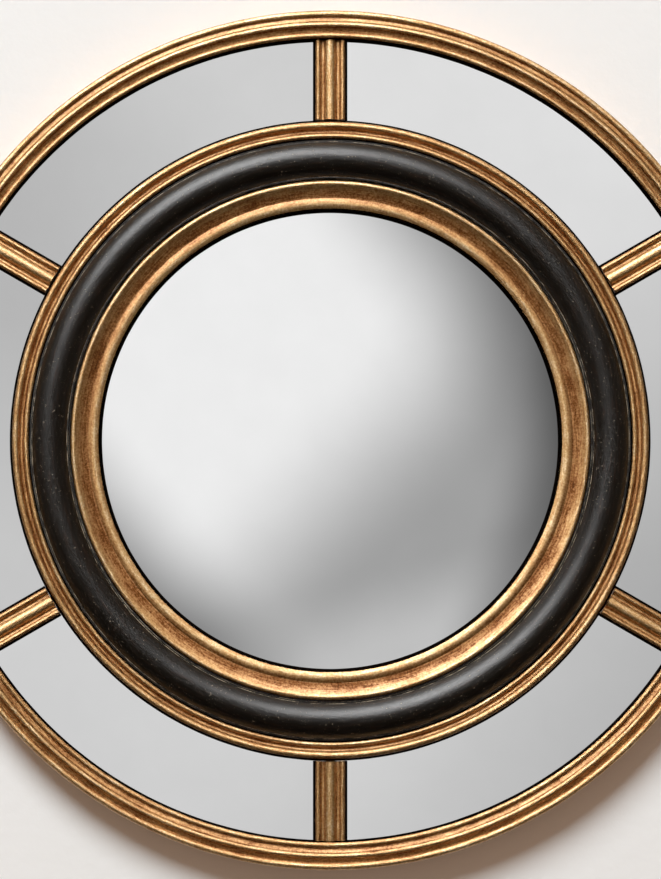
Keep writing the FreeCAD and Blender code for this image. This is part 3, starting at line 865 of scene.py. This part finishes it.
sided = add(tree, "ShaderNodeMixShader", {0: behind, 1: matt.outputs[0], 2: clear.outputs[0]})
tree.links.new(sided.outputs[0], output.inputs["Surface"])
wall.data.materials.append(paint)
print("wall faces:", [round(c, 1) for c in wall.matrix_world.to_3x3() @ wall.data.polygons[0].normal])

# %% [markdown]
# ## The room
#
# What a mirror shows is the room, so the room is painted on the world by direction: bright panels
# above and to the left, a grey falloff to the right, and a paler floor below. Satin leaf and black
# polish spread what they reflect, so they need a stronger light than the glass does. They see a
# plainer room, dark below and paler above, with one soft box in it. In the dome that box would be a
# white patch, so the mirrors don't see it. Matt surfaces get a warm fill, and the camera sees a pale
# backdrop. Angles are taken from straight out of the wall: one to the right, one upwards.

# %% The room
bpy.context.scene.view_settings.view_transform = "Standard"
room = bpy.data.worlds.new("room")
bpy.context.scene.world = room
room.use_nodes = True
tree = room.node_tree
tree.nodes.clear()
DEGREES = 180 / math.pi

way = add(tree, "ShaderNodeSeparateXYZ", {0: add(tree, "ShaderNodeTexCoord").outputs["Generated"]})
outward = add(tree, "ShaderNodeMath", {0: way.outputs["Y"], 1: -1.0}, operation="MULTIPLY")
right = add(tree, "ShaderNodeMath", {0: way.outputs["X"], 1: outward.outputs[0]}, operation="ARCTAN2")
right = add(tree, "ShaderNodeMath", {0: right.outputs[0], 1: DEGREES}, operation="MULTIPLY")
up = add(tree, "ShaderNodeMath", {0: way.outputs["Z"]}, operation="ARCSINE")
up = add(tree, "ShaderNodeMath", {0: up.outputs[0], 1: DEGREES}, operation="MULTIPLY")


def room_band(right_share, up_share, low, high, at_low, at_high):
    """Light that changes along a slanted angle, from its level at low degrees to its level at high."""
    slant = add(tree, "ShaderNodeMath", {0: right.outputs[0], 1: right_share}, operation="MULTIPLY")
    slant = add(tree, "ShaderNodeMath", {
        0: up.outputs[0], 1: up_share, 2: slant.outputs[0]}, operation="MULTIPLY_ADD")
    return add(tree, "ShaderNodeMapRange", {
        "Value": slant.outputs[0], "From Min": low, "From Max": high, "To Min": at_low,
        "To Max": at_high}, interpolation_type="SMOOTHSTEP").outputs[0]


# What the mirrors see: a panel of light that falls off to the right, at the upper right and at the
# lower left, and a little light on the floor
panel = room_band(1.0, -1.0, -14.0, 28.0, 0.96, 0.40)
dark_corner = room_band(1.0, 0.7, 22.0, 62.0, 1.0, 0.22)
left_fall = room_band(-1.0, -0.9, 26.0, 56.0, 1.0, 0.2)
right_end = room_band(1.0, -0.3, 29.0, 42.0, 1.0, 0.45)
floor_light = room_band(0.3, -1.0, 20.0, 36.0, 0.0, 0.2)
floor_end = room_band(0.0, -1.0, 40.0, 60.0, 1.0, 0.1)

seen = add(tree, "ShaderNodeMath", {0: panel, 1: dark_corner}, operation="MULTIPLY")
seen = add(tree, "ShaderNodeMath", {0: seen.outputs[0], 1: left_fall}, operation="MULTIPLY")
lit_floor = add(tree, "ShaderNodeMath", {0: floor_light, 1: floor_end}, operation="MULTIPLY")
seen = add(tree, "ShaderNodeMath", {0: seen.outputs[0], 1: lit_floor.outputs[0]}, operation="ADD")
seen = add(tree, "ShaderNodeMath", {0: seen.outputs[0], 1: right_end}, operation="MULTIPLY")

# Satin leaf and black polish see a plainer room: dark below, paler above, and one soft box
LAMP_LEAN = math.radians(-16)
BOX_FROM_WALL = math.radians(46)
BOX_HALF_WIDTH = math.radians(22)
BOX_EDGE = math.radians(6)
BOX_LEVEL = 9.0


def lamp_direction(from_wall):
    """A direction above and a little to the left, at this angle off straight out of the wall."""
    return (
        math.sin(from_wall) * math.sin(LAMP_LEAN),
        -math.cos(from_wall),
        math.sin(from_wall) * math.cos(LAMP_LEAN),
    )


floor = room_band(0.0, 1.0, -50.0, 0.0, 0.02, 0.1)
ceiling = room_band(0.0, 1.0, 20.0, 70.0, 0.0, 0.3)
towards = add(tree, "ShaderNodeVectorMath", {
    0: add(tree, "ShaderNodeTexCoord").outputs["Generated"], 1: lamp_direction(BOX_FROM_WALL)},
    operation="DOT_PRODUCT")
box = add(tree, "ShaderNodeMapRange", {
    "Value": towards.outputs["Value"], "From Min": math.cos(BOX_HALF_WIDTH + BOX_EDGE),
    "From Max": math.cos(BOX_HALF_WIDTH - BOX_EDGE), "To Max": BOX_LEVEL},
    interpolation_type="SMOOTHSTEP")
plainer = add(tree, "ShaderNodeMath", {0: ceiling, 1: floor}, operation="ADD")
plainer = add(tree, "ShaderNodeMath", {0: plainer.outputs[0], 1: box.outputs[0]}, operation="ADD")

# Behind the wall the room is brighter, for the screws and hangers
rear_room = add(tree, "ShaderNodeMapRange", {
    "Value": way.outputs["Y"], "From Min": 0.0, "From Max": 0.4, "To Max": 0.9})
plainer = add(tree, "ShaderNodeMath", {0: plainer.outputs[0], 1: rear_room.outputs[0]}, operation="ADD")

# Matt surfaces get a warm fill, which is stronger behind the wall, and dark parts of the plainer
# room are warmer than bright ones
WARM_FILL = linear("#ffdcc0")
WARM_SHADE = linear("#ffdcae")
WHITE = linear("#ffffff")
BACKDROP = linear("#f6f3f0")

fill = add(tree, "ShaderNodeMapRange", {
    "Value": way.outputs["Y"], "From Min": -0.1, "From Max": 0.1, "To Min": 0.28, "To Max": 0.5})

path = add(tree, "ShaderNodeLightPath")
cast = add(tree, "ShaderNodeMix", {
    0: plainer.outputs[0], 6: WARM_SHADE, 7: WHITE}, data_type="RGBA")
matt = add(tree, "ShaderNodeBackground", {"Color": WARM_FILL, "Strength": fill.outputs[0]})
satin = add(tree, "ShaderNodeBackground", {"Color": cast.outputs[2], "Strength": plainer.outputs[0]})
mirrored = add(tree, "ShaderNodeBackground", {"Color": WHITE, "Strength": seen.outputs[0]})
backdrop = add(tree, "ShaderNodeBackground", {"Color": BACKDROP, "Strength": 1.0})

# A roughness of exactly 0 makes a ray singular, so that is how the mirrors are told from satin
picked = add(tree, "ShaderNodeMixShader", {
    0: path.outputs["Is Glossy Ray"], 1: matt.outputs[0], 2: satin.outputs[0]})
picked = add(tree, "ShaderNodeMixShader", {
    0: path.outputs["Is Singular Ray"], 1: picked.outputs[0], 2: mirrored.outputs[0]})
picked = add(tree, "ShaderNodeMixShader", {
    0: path.outputs["Is Camera Ray"], 1: picked.outputs[0], 2: backdrop.outputs[0]})
add(tree, "ShaderNodeOutputWorld", {"Surface": picked.outputs[0]})
print("soft box in degrees off straight out:", round(math.degrees(BOX_FROM_WALL)))

# %% [markdown]
# ## The lamps
#
# A large soft lamp above and a little to the left lights the matt surfaces and drops the rim's shadow
# below it. A small one behind the wall lights the board. Both are kept out of reflections, because
# the soft box already gives the leaf and the polish their highlights.

# %% The lamps
LAMP_DISTANCE = 8.0
SHADOW_FROM_WALL = math.radians(51)
FRONT_SIZE = 3.9
FRONT_POWER = 835.0
REAR_PLACE = (-1.8, 1.5, 2.2)
REAR_SIZE = 0.7
REAR_POWER = 190.0
COOL_WHITE = linear("#eaf8ff")


def soft_lamp(name, place, size, power):
    """A round lamp that shines at the mirror. It lights matt surfaces, and polish doesn't show it."""
    lamp = bpy.data.lights.new(name, "AREA")
    lamp.shape = "DISK"
    lamp.size = size
    lamp.energy = power
    lamp.color = COOL_WHITE[:3]
    holder = bpy.data.objects.new(name, lamp)
    bpy.context.scene.collection.objects.link(holder)
    holder.location = place
    holder.rotation_euler = (-holder.location).to_track_quat("-Z", "Y").to_euler()
    holder.visible_glossy = False


front_place = [LAMP_DISTANCE * share for share in lamp_direction(SHADOW_FROM_WALL)]
soft_lamp("front_lamp", front_place, FRONT_SIZE, FRONT_POWER)
soft_lamp("rear_lamp", REAR_PLACE, REAR_SIZE, REAR_POWER)
print("front lamp in m:", [round(c, 2) for c in front_place])

# %% [markdown]
# ## The camera
#
# The photograph was taken straight on, with the film parallel to the wall, but from a point below and
# to the left of the mirror's middle: more of each black side wall shows at the upper right. So the
# camera stands off centre and looks straight ahead, and its shift brings the mirror back to the
# middle of the frame. A last fine shift of half a millimetre lays the rim on the photograph's. The
# lens follows from the distance and from how much the frame's long side covers there.

# %% The camera
FRAME_LONG_SIDE = 879
MM_PER_PIXEL = 0.72
REFERENCE_DEPTH = 27.0
STAND_OFF = 1550.0
CAMERA_RIGHT = -57.0
CAMERA_UP = -82.0
FINE_SHIFT = 0.0008
SENSOR = 36.0

covered = FRAME_LONG_SIDE * MM_PER_PIXEL
camera_data = bpy.data.cameras.new("camera")
camera = bpy.data.objects.new("camera", camera_data)
bpy.context.scene.collection.objects.link(camera)
camera.location = (CAMERA_RIGHT * MM, -(STAND_OFF + REFERENCE_DEPTH) * MM, CAMERA_UP * MM)
camera.rotation_euler = (math.pi / 2, 0, 0)
camera_data.sensor_width = SENSOR
camera_data.lens = SENSOR * STAND_OFF / covered
camera_data.shift_x = -CAMERA_RIGHT / covered
camera_data.shift_y = -CAMERA_UP / covered + FINE_SHIFT
bpy.context.scene.camera = camera
print("lens in mm:", round(camera_data.lens, 1))
